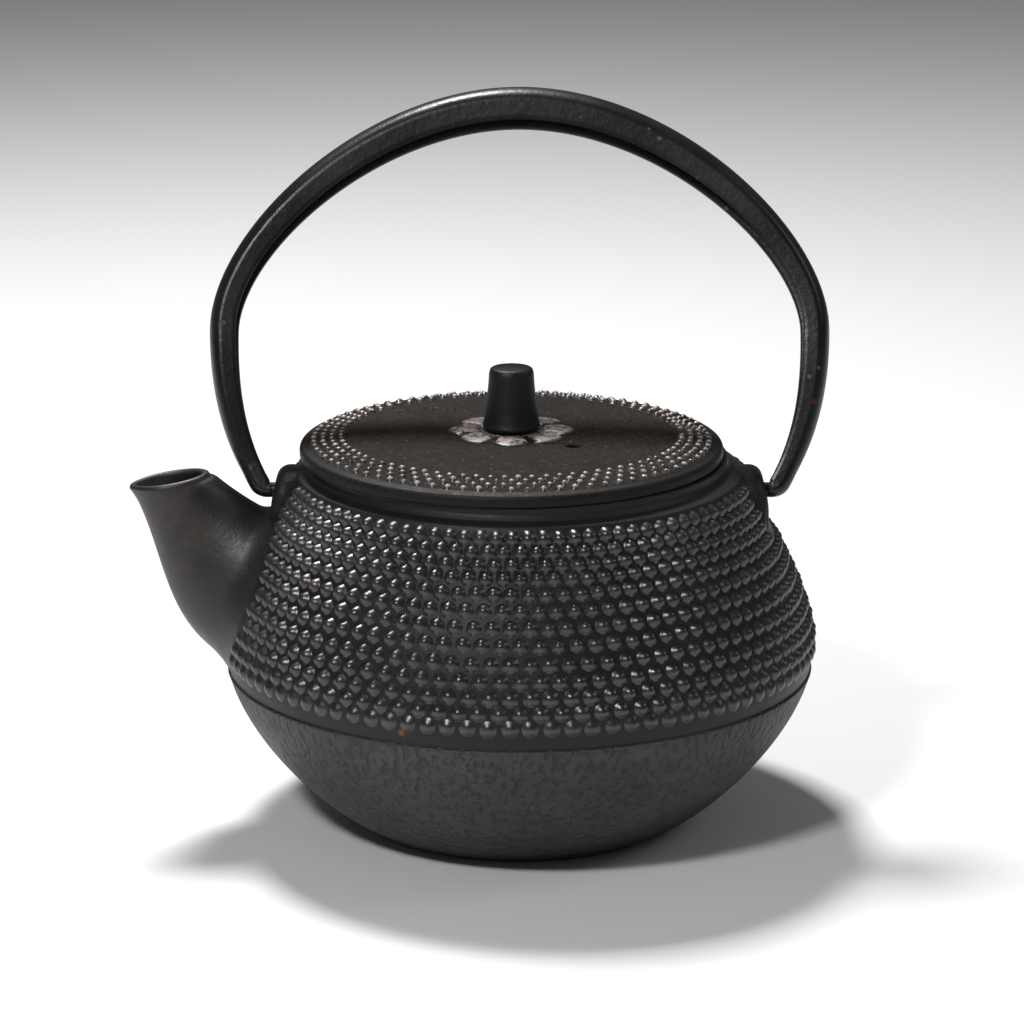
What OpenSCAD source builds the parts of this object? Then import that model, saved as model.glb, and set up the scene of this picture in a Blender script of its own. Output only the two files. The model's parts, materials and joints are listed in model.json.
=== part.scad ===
// Cast iron teapot with a studded upper body, a flat studded lid, a swinging bail handle and a
// lift-out strainer. Millimetres, +Z up. The origin is on the table, at the centre of the foot.
// The spout points along -X and the bail turns about a line parallel to X through the two ears.

/* [Pot body] */
// Radius of the body at its widest
belly_r = 71.5; // [62:0.1:80]
// Height of the widest line above the table
belly_z = 43.5; // [38:0.1:50]
// Radius of the flat foot
foot_r = 38.3; // [30:0.1:46]
// Radius of the shoulder where it meets the collar
shoulder_r = 53.8; // [51:0.1:57]
// Height of the shoulder where it meets the collar
shoulder_z = 86.7; // [84:0.1:95]
// Outer radius of the collar under the lid
collar_r = 50.2; // [49:0.1:53]
// Height of the collar from the shoulder to the face that carries the lid
collar_h = 3.7; // [3:0.1:6]
// Thickness of the cast wall
wall = 3.6; // [2.5:0.1:5]
// Thickness of the floor
floor_t = 4.5; // [3:0.1:7]
// Height of the seam between the plain lower bowl and the studded upper body
seam_z = 38.6; // [25:0.1:42]
// How far the plain lower bowl stands proud of the ground between the studs
band_proud = 0.4; // [0.1:0.1:1]

/* [Mouth] */
// Radius of the mouth that the strainer drops into
mouth_r = 43; // [40:0.1:44]
// Width of the ledge round the mouth that the strainer hangs on
ledge_w = 2.2; // [1.5:0.1:3]
// Depth of that ledge below the lid's seat
ledge_d = 1; // [0.9:0.1:1.6]

/* [Spout] */
// Distance of the pouring lip from the body's axis
lip_x = 94.6; // [88:0.1:102]
// Height of the pouring lip
lip_z = 82.8; // [76:0.1:86]
// Length of the mouth from the lip to its inner end
spout_mouth_l = 19.8; // [16:0.1:23]
// Slope of the mouth down towards the lip, in degrees
spout_mouth_tilt = 9.6; // [0:0.1:20]
// Width of the spout across its mouth
spout_mouth_w = 15; // [11:0.1:20]
// Width of the spout across its root
spout_root_w = 38; // [28:0.1:44]
// Height at which the underside of the spout leaves the body
spout_root_z = 40; // [34:0.1:46]
// Thickness of the spout's wall at the root, where it narrows to the spout's mouth
spout_wall = 3; // [2:0.1:4]
// Thickness of the spout's wall at its mouth
spout_lip_t = 1.9; // [1.2:0.1:3]

/* [Ears] */
// How far an ear's outer face stands beyond the shoulder's radius
ear_out = 6.2; // [4.7:0.1:9]
// Height of an ear's top
ear_top_z = 87.2; // [85:0.1:89]
// Width of an ear across the pot
ear_w = 17; // [14:0.1:22]
// Depth of the blind bore in each ear
ear_bore_d = 5; // [3:0.1:5.6]

/* [Bail handle] */
// Height of the bail's pivot line
pivot_z = 81.4; // [79:0.1:82.5]
// Radius of the pins that sit in the ears
pin_r = 1.8; // [1.2:0.1:2.4]
// Running clearance of a pin in its bore
pin_clear = 0.08; // [0.03:0.01:0.1]
// How far the resting bail leans back from upright, in degrees
bail_lean = 22; // [0:1:40]
// Half the width of the bail, to the middle of its section
bail_half_w = 72; // [70:0.1:80]
// Height of the bail's widest points above the pivot line, along its plane
bail_wide_h = 39; // [30:0.1:50]
// Height of the bail's top above the pivot line, to the middle of its section
bail_top_h = 94.6; // [85:0.1:110]
// Radial thickness of the bail at its top
bail_t_top = 9.2; // [6:0.1:12]
// Radial thickness of the bail at its widest points
bail_t_side = 6.7; // [5:0.1:9]
// Radial thickness of the bail at its ends
bail_t_end = 3.2; // [2.6:0.1:4.5]
// Width of the bail's channel at its top
bail_w_top = 14; // [10:0.1:18]
// Width of the bail's channel at its ends
bail_w_end = 5.6; // [5:0.1:8]
// Thickness of the channel's metal
bail_wall = 1.6; // [1:0.1:2.2]

/* [Lid] */
// Radius of the lid
lid_r = 51.1; // [50:0.1:54]
// Thickness of the lid's rim
lid_rim_t = 3.1; // [2.4:0.1:5]
// Rise of the lid from its rim to its centre
lid_dome = 2.5; // [0.8:0.1:5]
// Thickness of the lid's plate
lid_plate_t = 3; // [2:0.1:4]
// Depth of the skirt that keeps the lid centred
skirt_h = 5; // [3:0.1:8]
// Thickness of the skirt
skirt_t = 2.4; // [1.6:0.1:3.5]
// Play between the skirt and the strainer's sleeve, all round
skirt_clear = 2.4; // [2.2:0.1:3]
// How far the resting lid lies off centre towards the spout, within that play
lid_shift = 2; // [0:0.1:2]
// Radius of the steam vent
vent_r = 1.7; // [1:0.1:2.5]
// Distance of the steam vent from the lid's centre
vent_at_r = 20.5; // [19:0.1:28]
// Direction of the steam vent from the lid's centre, in degrees
vent_angle = -44; // [-180:1:180]

/* [Knob] */
// Height of the knob above its flower seat
knob_h = 15.1; // [12:0.1:22]
// Radius of the knob at its top
knob_top_r = 5.4; // [4:0.1:7]
// Radius of the knob at its base
knob_base_r = 7; // [5.5:0.1:8]
// Radius of the tenon that holds the knob
tenon_r = 2.4; // [1.8:0.1:3]
// Radius of the riveted head under the lid
rivet_r = 3.8; // [3.4:0.1:4.6]
// Thickness of the riveted head
rivet_t = 1.5; // [1:0.1:2]
// Radius of the washer under the lid
washer_r = 6; // [5:0.1:8]
// Thickness of the washer
washer_t = 1; // [0.6:0.1:1.6]
// Petals of the flower seat
petals = 8; // [6:1:12]
// Radius of the flower seat over its petals
flower_r = 15.4; // [12:0.1:16.5]
// Thickness of the flower seat
flower_t = 1; // [0.5:0.1:1.5]

/* [Strainer] */
// Depth of the strainer below the lid's seat
strainer_h = 49; // [35:0.5:58]
// Gap between the strainer's sleeve and the mouth
strainer_clear = 0.8; // [0.5:0.1:1.5]
// Thickness of the strainer's sheet
sheet_t = 0.6; // [0.5:0.1:0.8]
// Height of the plain sleeve under the strainer's flange
sleeve_h = 10; // [8:0.5:14]
// Height of the ring round the strainer's base
base_ring_h = 3; // [2:0.5:6]

/* [Hidden] */
$fn = 96;

iron = "#2b2b2d";
dark_iron = "#1f1f21";
rusty_iron = "#33291f";
steel = "#b4b7ba";

seat_z = shoulder_z + collar_h;          // the face that carries the lid
ear_x = shoulder_r + ear_out;            // the outer face of an ear
curve_steps = 14;                        // straight pieces in each stretch of the body's outline

// Points, directions and normals along a cubic curve of four control points
function on_curve(c, t) = pow(1 - t, 3) * c[0] + 3 * pow(1 - t, 2) * t * c[1]
                        + 3 * (1 - t) * t * t * c[2] + t * t * t * c[3];
function along_curve(c, t) = pow(1 - t, 2) * (c[1] - c[0]) + 2 * (1 - t) * t * (c[2] - c[1])
                           + t * t * (c[3] - c[2]);
function unit(v) = v / norm(v);
function right_of(v) = [v[1], -v[0]];
function inset_point(c, t, by) = on_curve(c, t) - by * unit(right_of(along_curve(c, t)));
function blend(a, b, t) = a + (b - a) * t;
function ease(t) = t * t * (3 - 2 * t);

// The body's outline, from the foot up to the widest line and on to the shoulder
bowl_curve = [[foot_r, 0], [foot_r + 13.7, 6.5], [belly_r, belly_z - 15.5], [belly_r, belly_z]];
cone_curve = [[belly_r, belly_z], [belly_r, belly_z + 11.5],
              [shoulder_r + 5.7, shoulder_z - 12.7], [shoulder_r, shoulder_z]];

function outline(by) = concat(
    [for (i = [0:curve_steps]) inset_point(bowl_curve, i / curve_steps, by)],
    [for (i = [1:curve_steps]) inset_point(cone_curve, i / curve_steps, by)]);

// Half the pot's section, filled in; the plain lower bowl stands proud of the studs' ground
module outer_outline() {
    polygon(concat([[0, 0]], outline(0),
        [[blend(shoulder_r, collar_r, 0.6), shoulder_z + 0.15 * collar_h],
         [collar_r, shoulder_z + 0.45 * collar_h],
         [collar_r, seat_z], [0, seat_z]]));
    intersection() {
        polygon(concat([[0, 0]], [for (p = outline(0)) [p[0] + band_proud, p[1]]],
            [[0, shoulder_z]]));
        square([2 * belly_r, seam_z]);
    }
}

module cavity_outline() {
    inside = outline(wall);
    lip_z_in = inside[len(inside) - 1][1] + 0.8;
    polygon(concat([[0, floor_t]],
        [for (p = inside) [p[0], max(p[1], floor_t)]],
        [[mouth_r, lip_z_in], [mouth_r, seat_z - ledge_d],
         [mouth_r + ledge_w, seat_z - ledge_d], [mouth_r + ledge_w, seat_z + 1], [0, seat_z + 1]]));
}

module pot_solid() {
    rotate_extrude() outer_outline();
}

// The pot's wall between two heights
module pot_wall(z0, z1) {
    rotate_extrude()
        difference() {
            intersection() {
                outer_outline();
                translate([0, z0]) square([2 * belly_r, z1 - z0]);
            }
            cavity_outline();
        }
}

// Upper and under edge of the spout in the plane y = 0, from inside the wall to the mouth
mouth_run = spout_mouth_l * [cos(spout_mouth_tilt), sin(spout_mouth_tilt)];
lip = [-lip_x, lip_z];
under_curve = [[-belly_r + 9.3, spout_root_z - 4], [-belly_r - 17.5, spout_root_z + 2.5],
               [-lip_x + 10, lip_z - 16.8], lip];
upper_curve = [[-shoulder_r + 1.8, shoulder_z - 15], [-shoulder_r - 8.2, shoulder_z - 10.7],
               [-shoulder_r - 14.2, shoulder_z - 6.7], lip + mouth_run];
spout_rings = 16;
spout_sides = 28;

function spout_t(i) = i / spout_rings;
// Half the width of the spout: it narrows quickly from its root and runs out evenly to its mouth
function spout_half_w(t) = blend(spout_root_w, spout_mouth_w, 1 - pow(1 - t, 1.8)) / 2;
// One ring round the spout, with its wall taken off; the side under the lip is drawn to a soft point
function spout_ring(t, by, past) =
    let (low = on_curve(under_curve, t), high = on_curve(upper_curve, t),
         mid = (low + high) / 2, up = unit(high - low), half_l = norm(high - low) / 2 - by,
         half_w = spout_half_w(t) - by, way = past * right_of(up))
    [for (k = [0:spout_sides - 1])
        let (a = 360 * k / spout_sides, c = cos(a),
             w = half_w * sin(a) * (c < 0 ? 1 - 0.12 * t * c * c : 1),
             p = mid + half_l * c * up - way)
        [p[0], w, p[1]]];

// A closed skin over equal rings of points
module skin(rings) {
    n = len(rings[0]);
    last = len(rings) - 1;
    polyhedron(
        points = [for (ring = rings) for (p = ring) p],
        faces = concat(
            [[for (k = [0:n - 1]) k]],
            [for (i = [0:last - 1]) for (k = [0:n - 1])
                [i * n + k, (i + 1) * n + k, (i + 1) * n + (k + 1) % n]],
            [for (i = [0:last - 1]) for (k = [0:n - 1])
                [i * n + k, (i + 1) * n + (k + 1) % n, i * n + (k + 1) % n]],
            [[for (k = [n - 1:-1:0]) last * n + k]]));
}

module spout_outside() {
    skin([for (i = [0:spout_rings]) spout_ring(spout_t(i), 0, 0)]);
}

// The way through the spout, from the cavity out past the mouth
module spout_bore() {
    skin(concat(
        [for (i = [0:spout_rings])
            spout_ring(spout_t(i), blend(spout_wall, spout_lip_t, spout_t(i)), 0)],
        [spout_ring(1, spout_lip_t, 1)]));
}

// One ear on the +X side: a lug that grows out of the shoulder, with a blind bore for the bail
ear_foot_z = shoulder_z - 14;
ear_round = 7;

module ear_blank() {
    intersection() {
        rotate([90, 0, 0])
            linear_extrude(ear_w, center = true)
                polygon([[collar_r - 3, ear_foot_z], [ear_x - 2.2, ear_foot_z - 3], [ear_x, ear_foot_z + 4],
                         [ear_x - 0.2, ear_top_z - 6.8], [ear_x - 1.4, ear_top_z - 2.2],
                         [ear_x - 2.7, ear_top_z - 0.8], [ear_x - 5, ear_top_z],
                         [collar_r - 3, ear_top_z]]);
        rotate([90, 0, 90])
            linear_extrude(ear_x + 1)
                union() {
                    translate([-ear_w / 2, ear_foot_z - 4])
                        square([ear_w, ear_top_z - ear_foot_z + 4 - ear_round]);
                    translate([-ear_w / 2 + ear_round, ear_foot_z - 4])
                        square([ear_w - 2 * ear_round, ear_top_z - ear_foot_z + 4]);
                    for (side = [-1, 1])
                        translate([side * (ear_w / 2 - ear_round), ear_top_z - ear_round])
                            circle(ear_round);
                }
    }
}

module ear_bore() {
    translate([ear_x - ear_bore_d, 0, pivot_z])
        rotate([0, 90, 0])
            cylinder(r = pin_r + pin_clear, h = ear_bore_d + 2);
}

// The casting is one piece on the real pot; its five parts meet here face to face
module pot_bowl() {
    color(iron)
        pot_wall(0, seam_z);
}

module pot_shoulder() {
    color(iron)
        difference() {
            pot_wall(seam_z, seat_z);
            spout_bore();
            ear_bore();
            mirror([1, 0, 0]) ear_bore();
        }
}

module spout() {
    color(iron)
        difference() {
            spout_outside();
            pot_solid();
            spout_bore();
        }
}

module ear_right() {
    color(iron)
        difference() {
            ear_blank();
            pot_solid();
            ear_bore();
        }
}

module ear_left() {
    mirror([1, 0, 0]) ear_right();
}

// The lid: a thin plate with a rounded rim, a flat centre for the flower and a skirt underneath
sleeve_r = mouth_r - strainer_clear;                 // outside of the strainer's sleeve
skirt_r = sleeve_r - sheet_t - skirt_clear;          // outside of the lid's skirt
lid_flat_r = flower_r + 1;
lid_corner = 1.3;
rim_z = seat_z + lid_rim_t;
lid_top_z = rim_z + lid_dome;
lid_steps = 8;

// Height of the lid's top: it rises quickly inside the rim, then runs nearly flat to the centre
function lid_z(r) = r <= lid_flat_r ? lid_top_z
    : rim_z + lid_dome * (1 - pow((r - lid_flat_r) / (lid_r - lid_corner - lid_flat_r), 3.2));

module lid() {
    top_r = lid_r - lid_corner;
    skirt_in = skirt_r - skirt_t;
    color(rusty_iron)
        translate([-lid_shift, 0, 0])
            difference() {
                rotate_extrude()
                    polygon(concat(
                        [[0, lid_top_z]],
                        [for (i = [0:lid_steps])
                            let (r = blend(lid_flat_r, top_r, i / lid_steps)) [r, lid_z(r)]],
                        [for (a = [67.5:-22.5:0])
                            [top_r + lid_corner * cos(a), rim_z - lid_corner + lid_corner * sin(a)]],
                        [[lid_r - 0.1, seat_z + 0.5], [lid_r - 0.6, seat_z], [skirt_r, seat_z],
                         [skirt_r, seat_z - skirt_h + 0.5], [skirt_r - 0.5, seat_z - skirt_h],
                         [skirt_in + 0.3, seat_z - skirt_h], [skirt_in, lid_z(skirt_in) - lid_plate_t]],
                        [for (i = [lid_steps:-1:0])
                            let (r = blend(lid_flat_r, skirt_in, i / lid_steps))
                            [r, lid_z(r) - lid_plate_t]],
                        [[0, lid_top_z - lid_plate_t]]));
                translate([0, 0, lid_top_z - lid_plate_t - 1])
                    cylinder(r = tenon_r, h = lid_plate_t + 2);
                rotate([0, 0, vent_angle])
                    translate([vent_at_r, 0, lid_top_z - lid_plate_t - 2])
                        cylinder(r = vent_r, h = lid_plate_t + 4);
            }
}

// A thin flower-shaped seat between the knob and the lid
module knob_flower_seat() {
    petal_r = flower_r * sin(180 / petals) * 0.72;
    color(dark_iron)
        translate([-lid_shift, 0, lid_top_z])
            difference() {
                union() {
                    cylinder(r = flower_r * 0.74, h = flower_t);
                    for (i = [0:petals - 1])
                        rotate([0, 0, 360 * (i + 0.5) / petals])
                            translate([flower_r - petal_r, 0, 0])
                                cylinder(r = petal_r, h = flower_t);
                }
                translate([0, 0, -1]) cylinder(r = tenon_r, h = flower_t + 2);
            }
}

// The knob, with its tenon through seat, lid and washer and its riveted head below
knob_z = lid_top_z + flower_t;
washer_z = lid_top_z - lid_plate_t - washer_t;

module lid_knob() {
    crown = 0.5;
    corner = 1.1;
    color(dark_iron)
        translate([-lid_shift, 0, 0])
            rotate_extrude()
                polygon(concat(
                    [[0, knob_z + knob_h], [knob_top_r - corner - 1.2, knob_z + knob_h - 0.15]],
                    [for (a = [90:-22.5:0])
                        [knob_top_r - corner + corner * cos(a),
                         knob_z + knob_h - crown - corner + corner * sin(a)]],
                    [[blend(knob_base_r, knob_top_r, 0.9), knob_z + 0.72 * knob_h],
                     [blend(knob_base_r, knob_top_r, 0.68), knob_z + 0.48 * knob_h],
                     [blend(knob_base_r, knob_top_r, 0.5), knob_z + 0.3 * knob_h],
                     [blend(knob_base_r, knob_top_r, 0.22), knob_z + 0.12 * knob_h],
                     [knob_base_r, knob_z + 0.6], [knob_base_r - 0.4, knob_z],
                     [tenon_r, knob_z], [tenon_r, washer_z], [rivet_r, washer_z],
                     [rivet_r, washer_z - 0.4], [rivet_r - 0.9, washer_z - rivet_t],
                     [0, washer_z - rivet_t]]));
}

module knob_washer() {
    color(iron)
        translate([-lid_shift, 0, washer_z])
            difference() {
                cylinder(r = washer_r, h = washer_t);
                translate([0, 0, -1]) cylinder(r = tenon_r, h = washer_t + 2);
            }
}

// The bail: an arch of channel section, open towards the lid, drawn in its own upright plane with
// the pivot line at height 0, then leant back and set at the height of the ears
end_x = ear_x + 0.35 + bail_t_end / 2;               // middle of the bail's end
leg_curve = [[end_x, 0], [end_x + 6.8, 11], [bail_half_w, bail_wide_h - 16], [bail_half_w, bail_wide_h]];
arch_curve = [[bail_half_w, bail_wide_h], [bail_half_w, bail_wide_h + 22],
              [bail_half_w * 0.514, bail_top_h], [0, bail_top_h]];
leg_steps = 12;
arch_steps = 18;
section_steps = 8;

// Middle line with the radial thickness and the width, from the end of one leg to the top
half_bail = concat(
    [for (i = [0:leg_steps - 1])
        let (t = i / leg_steps)
        [on_curve(leg_curve, t), unit(along_curve(leg_curve, t)),
         blend(bail_t_end, bail_t_side, 1 - pow(1 - t, 1.5)),
         blend(bail_w_end, blend(bail_w_end, bail_w_top, 0.75), ease(t))]],
    [for (i = [0:arch_steps])
        let (t = i / arch_steps)
        [on_curve(arch_curve, t), unit(along_curve(arch_curve, t)),
         blend(bail_t_side, bail_t_top, ease(t)),
         blend(blend(bail_w_end, bail_w_top, 0.75), bail_w_top, t)]]);

// One ring of the channel: round its back from lip to lip, then back inside the hollow
function channel_ring(at, dir, thick, width, side) =
    let (out = right_of(dir), hollow = max(0.5, thick - 2.4 * bail_wall), last = section_steps + 2)
    [for (row = [0, 1]) for (k = [0:last])
        let (j = row == 0 ? k : last - k,
             lip = j == 0 || j == last,
             a = 180 * min(max(j - 1, 0), section_steps) / section_steps,
             half = width / 2 - (row == 0 ? 0 : bail_wall),
             rise = row == 0 ? thick : hollow,
             bulge = min(0.42 * thick, 0.6 * rise),
             r = -thick / 2 + (lip ? 0 : rise - bulge + bulge * sin(a)))
        [side * (at[0] + out[0] * r), -half * cos(a), at[1] + out[1] * r]];

// Skin of the channel, with each end closed by a strip between its outer and inner row
module channel(rings) {
    n = len(rings[0]);
    top = (len(rings) - 1) * n;
    polyhedron(
        points = [for (ring = rings) for (p = ring) p],
        faces = concat(
            [for (i = [0:len(rings) - 2]) for (k = [0:n - 1])
                [i * n + k, (i + 1) * n + (k + 1) % n, i * n + (k + 1) % n]],
            [for (i = [0:len(rings) - 2]) for (k = [0:n - 1])
                [i * n + k, (i + 1) * n + k, (i + 1) * n + (k + 1) % n]],
            [for (k = [0:n / 2 - 2]) [k, n - 2 - k, n - 1 - k]],
            [for (k = [0:n / 2 - 2]) [k, k + 1, n - 2 - k]],
            [for (k = [0:n / 2 - 2]) [top + k, top + n - 1 - k, top + n - 2 - k]],
            [for (k = [0:n / 2 - 2]) [top + k, top + n - 2 - k, top + k + 1]]));
}

module bail_handle() {
    count = len(half_bail);
    rings = concat(
        [for (i = [0:count - 1])
            let (h = half_bail[i]) channel_ring(h[0], h[1], h[2], h[3], 1)],
        [for (i = [count - 2:-1:0])
            let (h = half_bail[i]) channel_ring(h[0], h[1], h[2], h[3], -1)]);
    color(dark_iron)
        translate([0, 0, pivot_z])
            rotate([-bail_lean, 0, 0])
                union() {
                    channel(rings);
                    for (side = [-1, 1])
                        rotate([0, 90 * side, 0]) {
                            translate([0, 0, end_x - bail_t_end / 2])
                                cylinder(r = bail_w_end / 2, h = bail_t_end);
                            translate([0, 0, ear_x - ear_bore_d + 0.5])
                                cylinder(r = pin_r, h = ear_bore_d + 1);
                        }
                }
}

// The strainer hangs on the ledge of the mouth by its flange
flange_t = ledge_d - 0.2;
strainer_bottom = seat_z - strainer_h;
wall_r = sleeve_r - sheet_t;                         // outside of the strainer's mesh wall

module strainer_rim() {
    color(steel)
        rotate_extrude()
            polygon([[wall_r, seat_z - ledge_d - sleeve_h], [sleeve_r, seat_z - ledge_d - sleeve_h],
                     [sleeve_r, seat_z - ledge_d], [mouth_r + ledge_w - 0.4, seat_z - ledge_d],
                     [mouth_r + ledge_w - 0.4, seat_z - ledge_d + flange_t],
                     [wall_r, seat_z - ledge_d + flange_t]]);
}

module tube(r, t, z0, z1) {
    rotate_extrude()
        translate([r - t, z0]) square([t, z1 - z0]);
}

module strainer_wall() {
    color(steel)
        tube(wall_r, sheet_t, strainer_bottom + sheet_t, seat_z - skirt_h - 1);
}

module strainer_base_ring() {
    color(steel)
        tube(sleeve_r, sheet_t, strainer_bottom, strainer_bottom + base_ring_h);
}

module strainer_base() {
    color(steel)
        translate([0, 0, strainer_bottom])
            cylinder(r = wall_r, h = sheet_t);
}

pot_bowl();
pot_shoulder();
spout();
ear_left();
ear_right();
lid();
lid_knob();
knob_flower_seat();
knob_washer();
bail_handle();
strainer_rim();
strainer_wall();
strainer_base_ring();
strainer_base();
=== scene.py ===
"""Dresses the packed teapot: studded cast iron body, spout, ears, bail, lid, knob and strainer.

All lengths are in metres, in the frame of the packed model: +Z up, the spout along -X, the origin on the
table at the centre of the foot.
"""

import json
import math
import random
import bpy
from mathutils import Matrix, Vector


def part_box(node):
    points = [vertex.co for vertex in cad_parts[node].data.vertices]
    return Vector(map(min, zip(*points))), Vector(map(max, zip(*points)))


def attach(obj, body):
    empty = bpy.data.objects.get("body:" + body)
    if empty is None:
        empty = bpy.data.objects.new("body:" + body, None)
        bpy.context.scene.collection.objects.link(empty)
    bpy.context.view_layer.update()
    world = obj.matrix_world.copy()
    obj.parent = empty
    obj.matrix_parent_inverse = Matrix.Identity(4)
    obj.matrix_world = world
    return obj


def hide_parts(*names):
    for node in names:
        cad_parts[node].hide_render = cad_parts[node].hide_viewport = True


bl_info = {
    "name": "Studded Iron Teapot",
    "version": (1, 0, 0),
    "blender": (4, 5, 0),
    "location": "3D View > Sidebar > Teapot",
    "description": "Builds the visible pieces and finishes of a cast iron teapot round its solids",
    "category": "Add Mesh",
}

import bmesh
import bpy
from bpy.props import FloatProperty, FloatVectorProperty, IntProperty, PointerProperty
from mathutils import Matrix, Vector

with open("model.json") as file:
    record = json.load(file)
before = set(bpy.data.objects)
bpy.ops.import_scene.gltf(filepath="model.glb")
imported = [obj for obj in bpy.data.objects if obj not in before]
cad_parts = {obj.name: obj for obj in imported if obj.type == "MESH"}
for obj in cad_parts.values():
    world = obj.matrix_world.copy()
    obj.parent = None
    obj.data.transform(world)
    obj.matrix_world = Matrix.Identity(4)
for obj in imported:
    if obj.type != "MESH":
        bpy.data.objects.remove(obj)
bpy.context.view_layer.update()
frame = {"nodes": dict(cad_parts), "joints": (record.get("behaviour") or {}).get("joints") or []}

MM = 0.001
TURN = 2 * math.pi
SEAT_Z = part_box("pot_shoulder")[1].z
BELLY_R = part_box("pot_shoulder")[1].y
SEAM_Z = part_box("pot_shoulder")[0].z
LID_LOW, LID_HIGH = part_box("lid")
LID_X = (LID_LOW.x + LID_HIGH.x) / 2
PIVOT_Z = next(j["pos_m"][2] for j in frame["joints"] if j["name"] == "bail_swing")


def length(name, text, value, low=0.0):
    """A size in millimetres, kept as a Blender length."""
    return FloatProperty(name=name, description=text, default=value * MM, min=low * MM,
                         unit="LENGTH", subtype="DISTANCE", precision=4)


def tint(name, text, value):
    """A colour, in linear light."""
    return FloatVectorProperty(name=name, description=text, default=value, min=0.0, max=1.0,
                               size=3, subtype="COLOR")


# ---------------------------------------------------------------- sizes


class TeapotBody(bpy.types.PropertyGroup):
    """Sizes of the casting."""

    belly_z: length("Belly height", "Height of the widest line above the table", 43.5)
    foot_r: length("Foot radius", "Radius of the flat foot", 38.3)
    shoulder_r: length("Shoulder radius", "Radius where the shoulder meets the collar", 53.8)
    shoulder_z: length("Shoulder height", "Height where the shoulder meets the collar", 86.7)
    collar_r: length("Collar radius", "Outer radius of the collar under the lid", 50.2)
    wall: length("Wall", "Thickness of the cast wall", 3.6)
    floor_t: length("Floor", "Thickness of the floor", 4.5)
    mouth_r: length("Mouth radius", "Radius of the mouth", 43)
    ledge_w: length("Ledge width", "Width of the ledge that the strainer hangs on", 2.2)
    ledge_d: length("Ledge depth", "Depth of that ledge below the lid's seat", 1)
    band_proud: length("Lower bowl", "How far the plain lower bowl stands proud of the studs' ground", 0.4)


class TeapotStuds(bpy.types.PropertyGroup):
    """The studs on the body and on the lid."""

    per_ring: IntProperty(name="Studs in a ring", description="Studs in each ring round the body",
                          default=94, min=40, max=140)
    size: length("Stud radius", "Radius of a stud on the body at its foot", 1.86)
    rise: length("Stud height", "How far a stud on the body stands out", 1.32)
    lid_per_ring: IntProperty(name="Studs in a lid ring", description="Studs in each ring on the lid",
                              default=80, min=40, max=140)
    lid_size: length("Lid stud radius", "Radius of a stud on the lid at its foot", 1.08)
    lid_rise: length("Lid stud height", "How far a stud on the lid stands out", 0.85)


class TeapotSpout(bpy.types.PropertyGroup):
    """Sizes of the spout."""

    lip_x: length("Reach", "Distance of the pouring lip from the body's axis", 94.6)
    lip_z: length("Lip height", "Height of the pouring lip", 82.8)
    mouth_l: length("Mouth length", "Length of the mouth from the lip to its inner end", 19.8)
    mouth_tilt: FloatProperty(name="Mouth tilt", description="Slope of the mouth down towards the lip",
                              default=math.radians(9.6), unit="ROTATION", subtype="ANGLE")
    mouth_w: length("Mouth width", "Width of the spout across its mouth", 15)
    root_w: length("Root width", "Width of the spout across its root", 38)
    wall: length("Root wall", "Thickness of the wall at the root", 3)
    lip_t: length("Mouth wall", "Thickness of the wall at the mouth", 1.9)
    fillet: length("Fillet", "Radius of the hollow where the spout leaves the body", 4.4)


class TeapotEars(bpy.types.PropertyGroup):
    """Sizes of the two ears."""

    reach: length("Reach", "Distance of an ear's outer face from the body's axis", 60)
    top_z: length("Top", "Height of an ear's top", 87.2)
    width: length("Width", "Width of an ear across the pot", 17)
    corner: length("Corner", "Radius of an ear's top corners", 7)
    edge: length("Edge", "Radius of the edge round an ear's outer face", 2.2)
    bore_r: length("Bore", "Radius of the hole for the bail", 1.88)
    bore_d: length("Bore depth", "Depth of the hole for the bail", 5)
    fillet: length("Fillet", "Radius of the hollow where an ear leaves the shoulder", 2.6)


class TeapotBail(bpy.types.PropertyGroup):
    """Sizes of the bail handle."""

    lean: FloatProperty(name="Lean", description="How far the resting bail leans back",
                        default=math.radians(22), unit="ROTATION", subtype="ANGLE")
    half_w: length("Half width", "Half the width of the bail, to the middle of its section", 72)
    wide_h: length("Widest height", "Height of the widest points above the pivot line", 39)
    top_h: length("Top height", "Height of the top above the pivot line", 94.6)
    t_top: length("Thickness at the top", "Radial thickness at the top", 9.2)
    t_side: length("Thickness at the sides", "Radial thickness at the widest points", 6.7)
    t_end: length("Thickness at the ends", "Radial thickness at the ends", 4.5)
    w_top: length("Width at the top", "Width of the channel at its top", 14)
    w_end: length("Width at the ends", "Width of the channel at its ends", 5.4)
    sheet_t: length("Metal", "Thickness of the channel's metal", 1.6)
    pin_r: length("Pin", "Radius of the pins that sit in the ears", 1.8)


class TeapotLid(bpy.types.PropertyGroup):
    """Sizes of the lid."""

    rim_t: length("Rim", "Thickness of the lid's rim", 3.1)
    dome: length("Dome", "Rise of the lid from its rim to its centre", 2.5)
    flat_r: length("Flat centre", "Radius of the flat centre under the flower", 16.4)
    plate_t: length("Plate", "Thickness of the lid's plate", 3)
    corner: length("Corner", "Radius of the rim's upper edge", 1.3)
    skirt_r: length("Skirt radius", "Outer radius of the skirt", 39.2)
    skirt_t: length("Skirt", "Thickness of the skirt", 2.4)
    skirt_h: length("Skirt depth", "Depth of the skirt", 5)
    vent_r: length("Vent", "Radius of the steam vent", 1.7)
    vent_at: length("Vent distance", "Distance of the vent from the lid's centre", 20.5)
    vent_turn: FloatProperty(name="Vent direction", description="Direction of the vent from the centre",
                             default=math.radians(-44), unit="ROTATION", subtype="ANGLE")


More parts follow.
